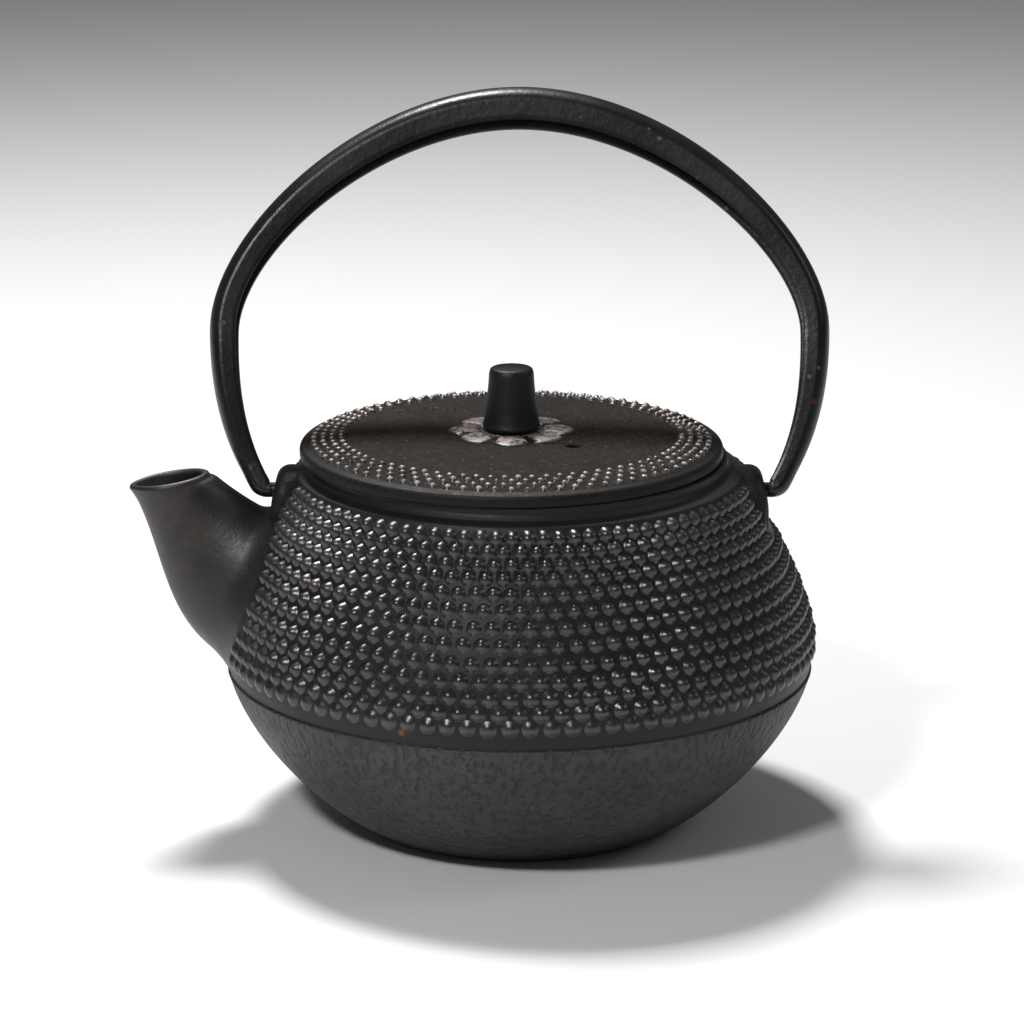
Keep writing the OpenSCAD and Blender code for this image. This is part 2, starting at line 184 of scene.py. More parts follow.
class TeapotKnob(bpy.types.PropertyGroup):
    """Sizes of the knob and of the flower under it."""

    height: length("Height", "Height of the knob above its flower seat", 15.1)
    top_r: length("Top radius", "Radius of the knob at its top", 5.4)
    base_r: length("Base radius", "Radius of the knob at its base", 7)
    tenon_r: length("Tenon", "Radius of the tenon that holds the knob", 2.4)
    rivet_r: length("Rivet", "Radius of the riveted head under the lid", 3.8)
    rivet_t: length("Rivet thickness", "Thickness of the riveted head", 1.5)
    petals: IntProperty(name="Petals", description="Petals of the flower seat", default=8, min=5, max=12)
    flower_r: length("Flower radius", "Radius of the flower seat over its petals", 15.4)
    flower_t: length("Flower thickness", "Thickness of the flower seat", 1)


class TeapotStrainer(bpy.types.PropertyGroup):
    """Sizes of the strainer."""

    flange_t: length("Flange", "Thickness of the flange on the ledge", 0.8)
    sleeve_h: length("Sleeve", "Height of the plain sleeve", 10)
    sheet_t: length("Sheet", "Thickness of the sheet", 0.6)
    mesh_pitch: length("Mesh pitch", "Distance from wire to wire in the fine mesh", 0.9)


class TeapotFinish(bpy.types.PropertyGroup):
    """Colours of the iron and the steel."""

    iron: tint("Studded iron", "Colour of the studded upper body", (0.0125, 0.0118, 0.0122))
    bowl: tint("Lower bowl", "Colour of the plain lower bowl", (0.058, 0.058, 0.063))
    lacquer: tint("Lacquer", "Colour of the bail and the knob", (0.0055, 0.0055, 0.0060))
    lid: tint("Lid", "Colour of the lid's centre", (0.015, 0.0105, 0.0080))
    patina: tint("Patina", "Reddish brown of the spout's flank", (0.040, 0.024, 0.019))
    rust: tint("Rust", "Colour of the rust specks", (0.20, 0.075, 0.018))
    steel: tint("Steel", "Colour of the strainer", (0.58, 0.58, 0.57))


# ---------------------------------------------------------------- shape helpers


def blend(a, b, t):
    return a + (b - a) * t


def ease(t):
    t = min(1.0, max(0.0, t))
    return t * t * (3 - 2 * t)


def on_curve(c, t):
    s = 1 - t
    return c[0] * (s * s * s) + c[1] * (3 * s * s * t) + c[2] * (3 * s * t * t) + c[3] * (t * t * t)


def along_curve(c, t):
    s = 1 - t
    return ((c[1] - c[0]) * (s * s) + (c[2] - c[1]) * (2 * s * t) + (c[3] - c[2]) * (t * t)).normalized()


def pair(x, y):
    return Vector((x * MM, y * MM))


def rounded(points, radii, steps=5):
    """The chain of points with each corner that has a radius drawn round."""
    made = []
    for i, point in enumerate(points):
        p, r = Vector(point), radii.get(i, 0) * MM
        if r <= 0 or i in (0, len(points) - 1):
            made.append(p)
            continue
        a, b = Vector(points[i - 1]) - p, Vector(points[i + 1]) - p
        reach = min(r / math.tan(max(a.angle(b), 0.05) / 2), 0.48 * a.length, 0.48 * b.length)
        start, end = p + a.normalized() * reach, p + b.normalized() * reach
        for k in range(steps + 1):
            t = k / steps
            made.append(start * (1 - t) ** 2 + p * (2 * t * (1 - t)) + end * t ** 2)
    return made


def turned(bm, points, steps=192, closed=False):
    """Spins a chain of (radius, height) points about Z."""
    verts = [bm.verts.new((p[0], 0, p[1])) for p in points]
    ends = verts[1:] + ([verts[0]] if closed else [])
    edges = [bm.edges.new(ab) for ab in zip(verts, ends)]
    bmesh.ops.spin(bm, geom=verts + edges, cent=(0, 0, 0), axis=(0, 0, 1), dvec=(0, 0, 0),
                   angle=TURN, steps=steps, use_merge=True, use_duplicate=False)
    bmesh.ops.remove_doubles(bm, verts=bm.verts, dist=1e-6)
    bmesh.ops.recalc_face_normals(bm, faces=bm.faces)


def skinned(bm, around, along, place, skin_to=0.0, weld=2e-6):
    """A grid of faces whose corners lie at place(u, v), welded where they meet.

    Returns the corners whose v is below skin_to."""
    made = bmesh.ops.create_grid(bm, x_segments=around, y_segments=along, size=0.5)["verts"]
    skin = [corner for corner in made if corner.co.y + 0.5 < skin_to]
    for corner in made:
        corner.co = place(min(1, max(0, corner.co.x + 0.5)), min(1, max(0, corner.co.y + 0.5)))
    bmesh.ops.remove_doubles(bm, verts=made, dist=weld)
    bmesh.ops.recalc_face_normals(bm, faces=bm.faces)
    return [corner for corner in skin if corner.is_valid]


def mesh_from(bm, name):
    mesh = bpy.data.meshes.new(name)
    bm.to_mesh(mesh)
    bm.free()
    return mesh


def piece(name, mesh, body, finish, stands_for=(), crisp=32):
    """Puts a mesh in the scene as a smooth piece that rides on a body."""
    mesh.shade_smooth()
    mesh.set_sharp_from_angle(angle=math.radians(crisp))
    mesh.materials.clear()
    mesh.materials.append(finish)
    obj = bpy.data.objects.new(name, mesh)
    bpy.context.scene.collection.objects.link(obj)
    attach(obj, body)
    if stands_for:
        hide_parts(*stands_for)
    return obj


def cut_by(mesh, *cutters):
    """The mesh with closed cutter meshes taken away from it."""
    scene = bpy.context.scene
    blank = bpy.data.objects.new("blank", mesh)
    scene.collection.objects.link(blank)
    tools = []
    for k, cutter in enumerate(cutters):
        tool = bpy.data.objects.new(f"cutter{k}", cutter)
        scene.collection.objects.link(tool)
        tools.append(tool)
        cut = blank.modifiers.new(f"cut{k}", "BOOLEAN")
        cut.operation, cut.solver, cut.object = "DIFFERENCE", "EXACT", tool
    bpy.context.view_layer.update()
    made = bpy.data.meshes.new_from_object(blank.evaluated_get(bpy.context.evaluated_depsgraph_get()))
    for obj in [blank] + tools:
        bpy.data.objects.remove(obj)
    return made


def joined(bm, template, placements):
    """Adds a copy of the template mesh to bm for each matrix."""
    for matrix in placements:
        copy = template.copy()
        copy.transform(matrix)
        bm.from_mesh(copy)
        bpy.data.meshes.remove(copy)


# ---------------------------------------------------------------- the body's outline


def outline_curves(b):
    r, z = BELLY_R / MM, b.belly_z / MM
    foot, top_r, top_z = b.foot_r / MM, b.shoulder_r / MM, b.shoulder_z / MM
    bowl = [pair(foot, 0), pair(foot + 13.7, 6.5), pair(r, z - 15.5), pair(r, z)]
    cone = [pair(r, z), pair(r, z + 11.5), pair(top_r + 5.7, top_z - 12.7), pair(top_r, top_z)]
    return bowl, cone


class Outline:
    """The body's outside as a turned surface: its radius, slope and normal at any height."""

    def __init__(self, b, steps=60):
        self.points = [on_curve(c, i / steps) for c in outline_curves(b) for i in range(steps + 1)]

    def radius(self, z):
        """(radius, change of radius per height) at height z."""
        pts = self.points
        for p, q in zip(pts, pts[1:]):
            if q.y > z and q.y > p.y:
                slope = (q.x - p.x) / (q.y - p.y)
                return p.x + slope * (z - p.y), slope
        p, q = pts[-3], pts[-1]
        slope = (q.x - p.x) / (q.y - p.y)
        return q.x + slope * (z - q.y), slope

    def above(self, co):
        """(height of a point above the surface, the surface's normal there)."""
        r = math.hypot(co.x, co.y)
        radius, slope = self.radius(co.z)
        lean = 1 / math.sqrt(1 + slope * slope)
        normal = Vector((co.x / r * lean, co.y / r * lean, -slope * lean))
        return (r - radius) * lean, normal


def settle(bm, outline, radius, skin, depth, top_z):
    """Flares a lug's skin into a hollow of the given radius where it leaves the body below top_z.

    Faces that lie deeper than depth in the body are taken away."""
    bm.normal_update()
    skin = set(skin)
    moves = []
    for v in skin:
        d, normal = outline.above(v.co)
        if d < radius and v.co.z < top_z:
            side = v.normal - normal * v.normal.dot(normal)
            if side.length < 1e-4:
                continue
            clear = min(max(d, 0), radius)
            spread = radius - math.sqrt(max(0, 2 * radius * clear - clear * clear))
            moves.append((v, side.normalized() * spread, d))
    for v, move, d in moves:
        v.co += move
        now, normal = outline.above(v.co)
        v.co += normal * (max(d, -0.15 * MM) - now if d > -depth else 0)
    drop = [f for f in bm.faces
            if all(v in skin and v.co.z < top_z for v in f.verts)
            and all(outline.above(v.co)[0] < -0.1 * MM for v in f.verts)]
    bmesh.ops.delete(bm, geom=drop, context="FACES")


# ---------------------------------------------------------------- shader helpers


class Flow:
    """A number, colour or vector on its way between shader nodes."""

    def __init__(self, sheet, socket):
        self.sheet, self.socket = sheet, socket

    def _math(self, how, *others, swap=False):
        values = [self, *others]
        return self.sheet.math(how, *(reversed(values) if swap else values))

    def __add__(self, o):
        return self._math("ADD", o)

    def __sub__(self, o):
        return self._math("SUBTRACT", o)

    def __rsub__(self, o):
        return self._math("SUBTRACT", o, swap=True)

    def __mul__(self, o):
        return self._math("MULTIPLY", o)

    def __pow__(self, o):
        return self._math("POWER", o)

    def __gt__(self, o):
        return self._math("GREATER_THAN", o)

    def __lt__(self, o):
        return self._math("LESS_THAN", o)


class Sheet:
    """One material's node tree."""

    def __init__(self, name):
        self.material = bpy.data.materials.new(name)
        self.material.use_nodes = True
        self.tree = self.material.node_tree
        self.tree.nodes.clear()
        self.shader = self.tree.nodes.new("ShaderNodeBsdfPrincipled")
        self.out = self.tree.nodes.new("ShaderNodeOutputMaterial")
        self.tree.links.new(self.shader.outputs[0], self.out.inputs["Surface"])

    def node(self, kind, settings=None, **inputs):
        """A node with its settings made first, then its sockets' values or links."""
        n = self.tree.nodes.new("ShaderNode" + kind)
        for key, value in (settings or {}).items():
            setattr(n, key, value)
        for key, value in inputs.items():
            key = int(key[1:]) if key[0] == "i" and key[1:].isdigit() else key.replace("_", " ")
            self.feed(n.inputs[key], value)
        return n

    def feed(self, socket, value):
        if isinstance(value, Flow):
            self.tree.links.new(value.socket, socket)
        elif hasattr(socket.default_value, "__len__") and not hasattr(value, "__len__"):
            socket.default_value = [value] * len(socket.default_value)
        elif hasattr(value, "__len__") and len(value) == 3 and len(socket.default_value) == 4:
            socket.default_value = (*value, 1)
        else:
            socket.default_value = value

    def flow(self, node, output=0):
        return Flow(self, node.outputs[output])

    def math(self, how, *values):
        n = self.node("Math", {"operation": how})
        for socket, value in zip(n.inputs, values):
            self.feed(socket, value)
        return self.flow(n)

    def vector(self, how, *values):
        n = self.node("VectorMath", {"operation": how})
        for socket, value in zip(n.inputs, values):
            self.feed(socket, value)
        return self.flow(n)

    def mix(self, share, a, b):
        """Colour a where share is 0 and b where it is 1."""
        n = self.node("Mix", {"data_type": "RGBA"}, i0=share, i6=a, i7=b)
        return self.flow(n, 2)

    def place(self):
        """The point on the piece, in its own coordinates."""
        return self.flow(self.node("TexCoord"), "Object")

    def axis(self, point, which):
        return self.flow(self.node("SeparateXYZ", Vector=point), which)

    def noise(self, point, size, detail=2.0, rough=0.5, stretch=None):
        """Cloudy noise from 0 to 1 whose blobs are about size metres across."""
        if stretch:
            point = self.vector("MULTIPLY", point, stretch)
        return self.flow(self.node("TexNoise", Vector=point, Scale=1 / size, Detail=detail, Roughness=rough))

    def rise(self, value, low, high, to_low=0.0, to_high=1.0):
        """value mapped smoothly, so that low becomes to_low and high becomes to_high."""
        n = self.node("MapRange", {"interpolation_type": "SMOOTHSTEP"}, Value=value,
                      From_Min=low, From_Max=high, To_Min=to_low, To_Max=to_high)
        return self.flow(n)

    def bump(self, height, strength=1.0):
        """A normal from a height in metres."""
        return self.flow(self.node("Bump", Strength=strength, Distance=1.0, Height=height))

    def specks(self, point, size, keep):
        """1 in a few scattered blobs about size across, 0 elsewhere; keep is the share of cells that stay."""
        cell = self.node("TexVoronoi", Vector=point, Scale=1 / size)
        near = self.rise(self.flow(cell, "Distance"), 0.30, 0.12)
        pick = self.axis(self.flow(cell, "Color"), 0) < keep
        return near * pick

    def set(self, **sockets):
        for key, value in sockets.items():
            self.feed(self.shader.inputs[key.replace("_", " ")], value)
        return self.material


# ---------------------------------------------------------------- finishes


def casting_finish(colours):
    """Near-black satin iron above the seam, slate-grey pebbled iron below it, with painted shade in its hollows and
    towards the foot.
    """
    s = Sheet("cast_iron")
    p = s.place()
    z = s.axis(p, 2)
    bowl = s.rise(z, SEAM_Z + 0.3 * MM, SEAM_Z - 0.2 * MM, 0, 1)
    neck = s.rise(z, 85.9 * MM, 86.9 * MM)
    cloud = s.noise(p, 16 * MM, 4, 0.6)
    grain = s.noise(p, 0.9 * MM, 3, 0.62)
    leather = s.noise(p, 1.6 * MM, 3, 0.5, stretch=(1, 1, 0.5))
    fine = s.noise(p, 0.35 * MM, 2, 0.6)
    ground = s.mix(s.rise(cloud, 0.35, 0.7), [c * 0.75 for c in colours.iron], [c * 1.25 for c in colours.iron])
    ground = s.mix(s.rise(s.noise(p, 7 * MM, 5, 0.7), 0.56, 0.72) * 0.4, ground, (0.030, 0.022, 0.018))
    ground = s.mix(neck, ground, (0.012, 0.012, 0.0125))
    low = s.mix(s.rise(s.noise(p, 30 * MM, 4, 0.6), 0.3, 0.7), colours.bowl, [c * 0.78 for c in colours.bowl])
    # Painted shade: the hollows between the pebbles, where the relief is low, are darkened.
    low = s.mix(s.rise(leather, 0.48, 0.36) * 0.65, low, [c * 0.42 for c in colours.bowl])
    # Painted shade: the bowl is darkened towards the foot, where it turns under towards the table.
    low = s.mix(s.rise(z, 18 * MM, 2 * MM) * 0.75, low, (0.016, 0.015, 0.016))
    colour = s.mix(bowl, ground, low)
    rusty = s.specks(p, 3.4 * MM, 0.035) * s.rise(s.noise(p, 24 * MM, 2), 0.5, 0.6)
    colour = s.mix(rusty * 0.7, colour, colours.rust)
    rough = bowl * 0.04 + s.rise(cloud, 0.3, 0.7, 0.40, 0.50) + grain * 0.08
    relief = (grain * (0.10 * MM) + fine * (0.03 * MM)) * (1 - bowl)
    relief = relief + (s.rise(leather, 0.34, 0.56) * (0.42 * MM) + grain * (0.14 * MM)) * bowl
    return s.set(Base_Color=colour, Roughness=rough, Specular_IOR_Level=0.28,
                 Normal=s.bump(relief, 1.0))


def stud_finish(colours):
    """The studs: the same iron, rubbed smoother."""
    s = Sheet("stud_iron")
    p = s.place()
    cloud = s.noise(p, 12 * MM, 4, 0.6)
    grain = s.noise(p, 0.6 * MM, 3, 0.6)
    colour = s.mix(s.rise(cloud, 0.4, 0.7), colours.iron, [c * 1.5 for c in colours.iron])
    rusty = s.specks(p, 4.0 * MM, 0.03) * s.rise(s.noise(p, 20 * MM, 2), 0.5, 0.6)
    colour = s.mix(rusty * 0.5, colour, colours.rust)
    rough = s.rise(cloud, 0.3, 0.7, 0.25, 0.33) + grain * 0.08
    return s.set(Base_Color=colour, Roughness=rough, Specular_IOR_Level=0.75,
                 Normal=s.bump(grain * (0.07 * MM), 0.8))


def spout_finish(colours):
    """Satin iron with a reddish brown patina on the flank near the mouth."""
    s = Sheet("spout_iron")
    p = s.place()
    x, z = s.axis(p, 0), s.axis(p, 2)
    cloud = s.noise(p, 9 * MM, 5, 0.65)
    grain = s.noise(p, 0.8 * MM, 3, 0.62)
    colour = s.mix(s.rise(cloud, 0.35, 0.7), colours.iron, [c * 1.6 for c in colours.iron])
    near = s.rise(x, -70 * MM, -80 * MM) * s.rise(z, 54 * MM, 72 * MM)
    patina = near * s.rise(s.noise(p, 10 * MM, 5, 0.7), 0.42, 0.62)
    colour = s.mix(patina * 0.8, colour, colours.patina)
    spots = s.rise(s.noise(p, 5 * MM, 4, 0.7), 0.62, 0.74) * near
    colour = s.mix(spots * 0.5, colour, (0.062, 0.042, 0.022))
    rough = s.rise(cloud, 0.3, 0.7, 0.34, 0.46) + grain * 0.10
    relief = grain * (0.08 * MM) + s.noise(p, 3.5 * MM, 3, 0.5) * (0.12 * MM)
    return s.set(Base_Color=colour, Roughness=rough, Specular_IOR_Level=0.5, Normal=s.bump(relief, 0.9))


def lid_finish(colours):
    """Brown-black iron, mottled with rust in the middle, satin grey-black at the rim."""
    s = Sheet("lid_iron")
    p = s.place()
    x, y, z = (s.axis(p, k) for k in range(3))
    r = s.math("SQRT", (x - LID_X) ** 2.0 + y ** 2.0)
    rim = s.rise(r, 47.6 * MM, 49.6 * MM)
    under = s.rise(z, SEAT_Z + 0.4 * MM, SEAT_Z - 0.2 * MM)
    blotch = s.noise(p, 5.5 * MM, 6, 0.75)
    scurf = s.noise(p, 1.5 * MM, 5, 0.75)
    cloud = s.noise(p, 17 * MM, 4, 0.6)
    grain = s.noise(p, 0.7 * MM, 4, 0.7)
    colour = s.mix(s.rise(blotch, 0.40, 0.62), (0.0065, 0.0055, 0.0050), colours.lid)
    colour = s.mix(s.rise(scurf, 0.52, 0.62) * 0.85, colour, (0.046, 0.029, 0.020))
    colour = s.mix(s.rise(scurf, 0.47, 0.38) * 0.85, colour, (0.0040, 0.0034, 0.0032))
    colour = s.mix(s.specks(p, 1.7 * MM, 0.16) * s.rise(cloud, 0.42, 0.58) * 0.8, colour, (0.105, 0.085, 0.070))
    colour = s.mix(s.specks(s.vector("ADD", p, (0.2, 0.4, 0.1)), 2.6 * MM, 0.05) * 0.7, colour, (0.075, 0.033, 0.014))
    colour = s.mix(rim * 0.85, colour, (0.0115, 0.0110, 0.0108))
    colour = s.mix(under, colour, (0.010, 0.0095, 0.0095))
    rough = s.rise(scurf, 0.35, 0.65, 0.55, 0.75) - rim * 0.22 + grain * 0.08
    relief = (blotch * (0.16 * MM) + scurf * (0.52 * MM)) * (1 - rim) + grain * (0.12 * MM)
    return s.set(Base_Color=colour, Roughness=rough, Specular_IOR_Level=0.14, Normal=s.bump(relief, 1.0))


def worn_and_lit_finish(lid, name, patch):
    """Iron that stands up from the lid, worn bright on top and with a painted highlight there, in patches about patch
    across.
    """
    s = Sheet(name)
    p = s.place()
    x, y, z = (s.axis(p, k) for k in range(3))
    r = s.math("SQRT", (x - LID_X) ** 2.0 + y ** 2.0)
    out = s.math("MAXIMUM", (r - lid.flat_r) * (1 / (lid_radius() - lid.corner - lid.flat_r)), 0.0)
    proud = z - (SEAT_Z + lid.rim_t + lid.dome) + out ** 3.2 * lid.dome
    cloud = s.noise(p, 6 * MM, 4, 0.65)
    grain = s.noise(p, 0.5 * MM, 3, 0.6)
    high = s.rise(proud, 0.38 * MM, 0.74 * MM)
    colour = s.mix(s.rise(cloud, 0.4, 0.65), (0.013, 0.011, 0.010), (0.040, 0.029, 0.024))
    # Pale colour on the raised tops: partly wear, partly a painted highlight.
    colour = s.mix(high * s.rise(s.noise(p, patch, 4, 0.7), 0.40, 0.55), colour, (0.34, 0.285, 0.26))
    rough = s.rise(cloud, 0.3, 0.7, 0.22, 0.34) + grain * 0.08
    return s.set(Base_Color=colour, Roughness=rough, Specular_IOR_Level=0.6,
                 Normal=s.bump(grain * (0.08 * MM), 0.9))


def lacquer_finish(colours, name, gloss, chips):
    """Black lacquered iron with a few chips and rust specks."""
    s = Sheet(name)
    p = s.place()
    cloud = s.noise(p, 18 * MM, 4, 0.6)
    orange = s.noise(p, 1.6 * MM, 3, 0.55)
    grain = s.noise(p, 0.5 * MM, 3, 0.62)
    colour = s.mix(s.rise(cloud, 0.4, 0.7), colours.lacquer, [c * 1.5 for c in colours.lacquer])
    bare = s.specks(p, 2.4 * MM, chips) * s.rise(s.noise(p, 22 * MM, 3), 0.47, 0.56)
    colour = s.mix(bare * 0.8, colour, (0.085, 0.075, 0.070))
    rusty = s.specks(s.vector("ADD", p, (0.31, 0.17, 0.53)), 3.0 * MM, chips * 0.35)
    colour = s.mix(rusty * 0.75, colour, (0.11, 0.022, 0.014))
    rough = s.rise(cloud, 0.3, 0.7, gloss, gloss + 0.09) + grain * 0.07 + bare * 0.25
    relief = orange * (0.10 * MM) + grain * (0.03 * MM) - bare * (0.10 * MM)
    return s.set(Base_Color=colour, Roughness=rough, Specular_IOR_Level=0.36, Normal=s.bump(relief, 0.8))


def steel_finish(colours):
    """Rolled stainless sheet, faintly streaked."""
    s = Sheet("strainer_steel")
    p = s.place()
    streak = s.noise(p, 1.2 * MM, 4, 0.6, stretch=(0.15, 0.15, 2.5))
    stain = s.noise(p, 14 * MM, 4, 0.6)
    colour = s.mix(s.rise(stain, 0.45, 0.75) * 0.35, colours.steel, (0.42, 0.36, 0.28))
    return s.set(Base_Color=colour, Metallic=1.0, Roughness=s.rise(streak, 0.3, 0.7, 0.22, 0.36),
                 Normal=s.bump(streak * (0.02 * MM), 0.6))


def weave_finish(colours, pitch):
    """Fine woven wire, with open squares between the wires, laid out on the sheet's own UV map."""
    s = Sheet("strainer_weave")
    uv = s.flow(s.node("UVMap", {"uv_map": "weave"}))
    u = s.axis(uv, 0) * (math.pi / pitch)
    v = s.axis(uv, 1) * (math.pi / pitch)
    su, sv = s.math("ABSOLUTE", s.math("SINE", u)), s.math("ABSOLUTE", s.math("SINE", v))
    wire = s.math("MAXIMUM", 1 - su, 1 - sv)
    solid = wire > 0.38
    over = s.math("SINE", u) * s.math("SINE", v)
    stain = s.noise(s.place(), 12 * MM, 4, 0.6)
    colour = s.mix(s.rise(stain, 0.45, 0.75) * 0.4, colours.steel, (0.40, 0.33, 0.24))
    return s.set(Base_Color=colour, Metallic=1.0, Roughness=s.rise(stain, 0.3, 0.7, 0.26, 0.40), Alpha=solid,
                 Normal=s.bump(wire * (0.12 * MM) + over * (0.03 * MM), 0.8))


# ---------------------------------------------------------------- the casting


def casting_section(b):
    """The wall's section: up the outside from the foot, over the seat and back down the inside."""
    outline = Outline(b)
    proud = b.band_proud
    seam_r = outline.radius(SEAM_Z)[0]
    low = [Vector((p.x + proud, p.y)) for p in outline.points if p.y < SEAM_Z - 0.6 * MM]
    high = [p for p in outline.points if p.y > SEAM_Z + 1.1 * MM]
    seam = [(seam_r + proud * share, SEAM_Z + rise * MM)
            for share, rise in ((1, -0.55), (0.94, -0.32), (0.72, -0.10), (0.38, 0.10), (0.12, 0.30), (0, 0.62))]
    foot = rounded([(0, 0), (b.foot_r + proud, 0), tuple(low[3])], {1: 2.5})
    top_z = b.shoulder_z
    ledge_r, ledge_z = b.mouth_r + b.ledge_w, SEAT_Z - b.ledge_d
    collar = rounded([tuple(high[-2]), (b.shoulder_r, top_z),
                      (blend(b.shoulder_r, b.collar_r, 0.72), top_z + 0.7 * MM),
                      (b.collar_r, top_z + 1.9 * MM), (b.collar_r, SEAT_Z), (ledge_r, SEAT_Z),
                      (ledge_r, ledge_z), (b.mouth_r, ledge_z), (b.mouth_r, top_z - 2.2 * MM)],
                     {1: 0.8, 2: 1.0, 3: 1.4, 4: 0.4, 5: 0.3, 7: 0.5})
    inside = []
    for curve in outline_curves(b):
        for i in range(41):
            d = along_curve(curve, i / 40)
            inside.append(on_curve(curve, i / 40) - Vector((d.y, -d.x)) * b.wall)
    inside = [p for p in inside if p.y > b.floor_t + 1.2 * MM and p.y < top_z - 2.9 * MM]
    inside.reverse()
    floor = rounded([tuple(inside[-1]), (inside[-1].x - 4.5 * MM, b.floor_t), (0, b.floor_t)], {1: 6})
    return foot + low[4:] + [Vector(p) for p in seam] + high[:-2] + collar + inside + floor[1:]


class Beak:
    """The spout: rings from inside the wall, at 0, to the mouth, at 1."""

    def __init__(self, b, s):
        self.s = s
        lip = Vector((-s.lip_x, s.lip_z))
        run = Vector((math.cos(s.mouth_tilt), math.sin(s.mouth_tilt))) * s.mouth_l
        belly, top_r, top_z = BELLY_R, b.shoulder_r, b.shoulder_z
        self.under = [Vector((-belly + 9.3 * MM, 36 * MM)), Vector((-belly - 17.5 * MM, 42.5 * MM)),
                      lip + pair(10, -16.8), lip]
        self.upper = [Vector((-top_r + 1.8 * MM, top_z - 15 * MM)), Vector((-top_r - 8.2 * MM, top_z - 10.7 * MM)),
                      Vector((-top_r - 14.2 * MM, top_z - 6.7 * MM)), lip + run]

    def ring(self, t):
        """(middle, direction up, half length, half width) of the ring at t."""
        low, high = on_curve(self.under, t), on_curve(self.upper, t)
        half_w = blend(self.s.root_w, self.s.mouth_w, 1 - (1 - t) ** 1.8) / 2
        return (low + high) / 2, (high - low).normalized(), (high - low).length / 2, half_w

    def at(self, t, turn, inset=0.0, past=0.0):
        """A point of the ring at t; turn 0 is its upper edge and half a turn its under edge."""
        mid, up, half_l, half_w = self.ring(t)
        c, n = math.cos(turn * TURN), math.sin(turn * TURN)
        beak = 1 - 0.24 * t * t * max(0, -c) ** 3
        p = mid + up * ((half_l - inset) * c) + Vector((-up.y, up.x)) * past
        return Vector((p.x, (half_w - inset) * n * beak, p.y))

    def solid(self, inset_root, inset_mouth):
        """A closed mesh of the room inside the spout, run out past the mouth."""
        bm = bmesh.new()

        def place(u, v):
            t = min(1, v * 1.08)
            return self.at(t, u, blend(inset_root, inset_mouth, t), 3 * MM if v > 0.99 else 0)

        skinned(bm, 56, 26, place)
        bmesh.ops.holes_fill(bm, edges=[e for e in bm.edges if e.is_boundary], sides=0)
        bmesh.ops.recalc_face_normals(bm, faces=bm.faces)
        return mesh_from(bm, "spout_room")


def near_spout(beak, co, margin):
    """How a point on the body stands to the spout's root: below 1 it lies inside root and margin."""
    best = 9.0
    for k in range(13):
        mid, up, half_l, half_w = beak.ring(k / 24)
        flat = Vector((co.x, co.z)) - mid
        off = abs(flat.dot(Vector((-up.y, up.x))))
        if off < 2.2 * MM:
            best = min(best, math.hypot(flat.dot(up) / (half_l + margin), co.y / (half_w + margin)))
    return best


class Ear:
    """One ear, as rays from the bail's pivot; side is 1 for +X and -1 for -X."""

    LEAN_FROM = 76.7 * MM                              # height where the outer face begins to lean in
    LEAN = 20.5                                        # how much it leans in, per metre

    def __init__(self, b, e, side):
        self.e, self.side = e, side
        w, c, top = e.width / 2, e.corner, e.top_z - PIVOT_Z
        low = b.shoulder_z - 19 * MM - PIVOT_Z
        edge = [Vector((w, low)), Vector((w, top - c))]
        edge += [Vector((w - c + c * math.cos(a), top - c + c * math.sin(a)))
                 for a in (math.pi / 2 * k / 8 for k in range(1, 9))]
        edge += [Vector((-p.x, p.y)) for p in reversed(edge)]
        self.edge = edge

    def ray(self, angle):
        """Distance from the pivot to the ear's outline in a direction."""
        d = Vector((math.sin(angle), math.cos(angle)))
        for p, q in zip(self.edge, self.edge[1:] + self.edge[:1]):
            s = q - p
            cross = d.x * s.y - d.y * s.x
            if abs(cross) < 1e-12:
                continue
            t = (p.x * s.y - p.y * s.x) / cross
            u = (p.x * d.y - p.y * d.x) / cross
            if t > 0 and -1e-9 <= u <= 1 + 1e-9:
                return t
        return self.e.width / 2

    def face_x(self, z):
        """The outer face leans in towards its top."""
        return self.e.reach - self.LEAN * max(0, z - self.LEAN_FROM) ** 2

    def at(self, u, v):
        e = self.e
        angle = (u + 0.5) * TURN
        d = Vector((math.sin(angle), math.cos(angle)))
        ray = self.ray(angle)
        if v <= 0.6:                                   # from inside the shoulder out to the edge
            spread = ray
            z = PIVOT_Z + d.y * spread
            x = blend(47 * MM, self.face_x(z) - e.edge, v / 0.6)
        elif v <= 0.75:                                # round the edge
            a = (v - 0.6) / 0.15 * math.pi / 2
            spread = ray - e.edge * (1 - math.cos(a))
            z = PIVOT_Z + d.y * spread
            x = self.face_x(z) - e.edge * (1 - math.sin(a))
        elif v <= 0.88:                                # across the face to the bore
            spread = blend(ray - e.edge, e.bore_r + 0.25 * MM, (v - 0.75) / 0.13)
            z = PIVOT_Z + d.y * spread
            x = self.face_x(z)
        else:                                          # down the bore
            q = (v - 0.88) / 0.12
            spread = e.bore_r if q < 0.98 else 0
            z = PIVOT_Z + d.y * spread
            x = self.face_x(z) - (0.2 * MM if q < 0.2 else e.bore_d)
        return Vector((self.side * x, d.x * spread, z))


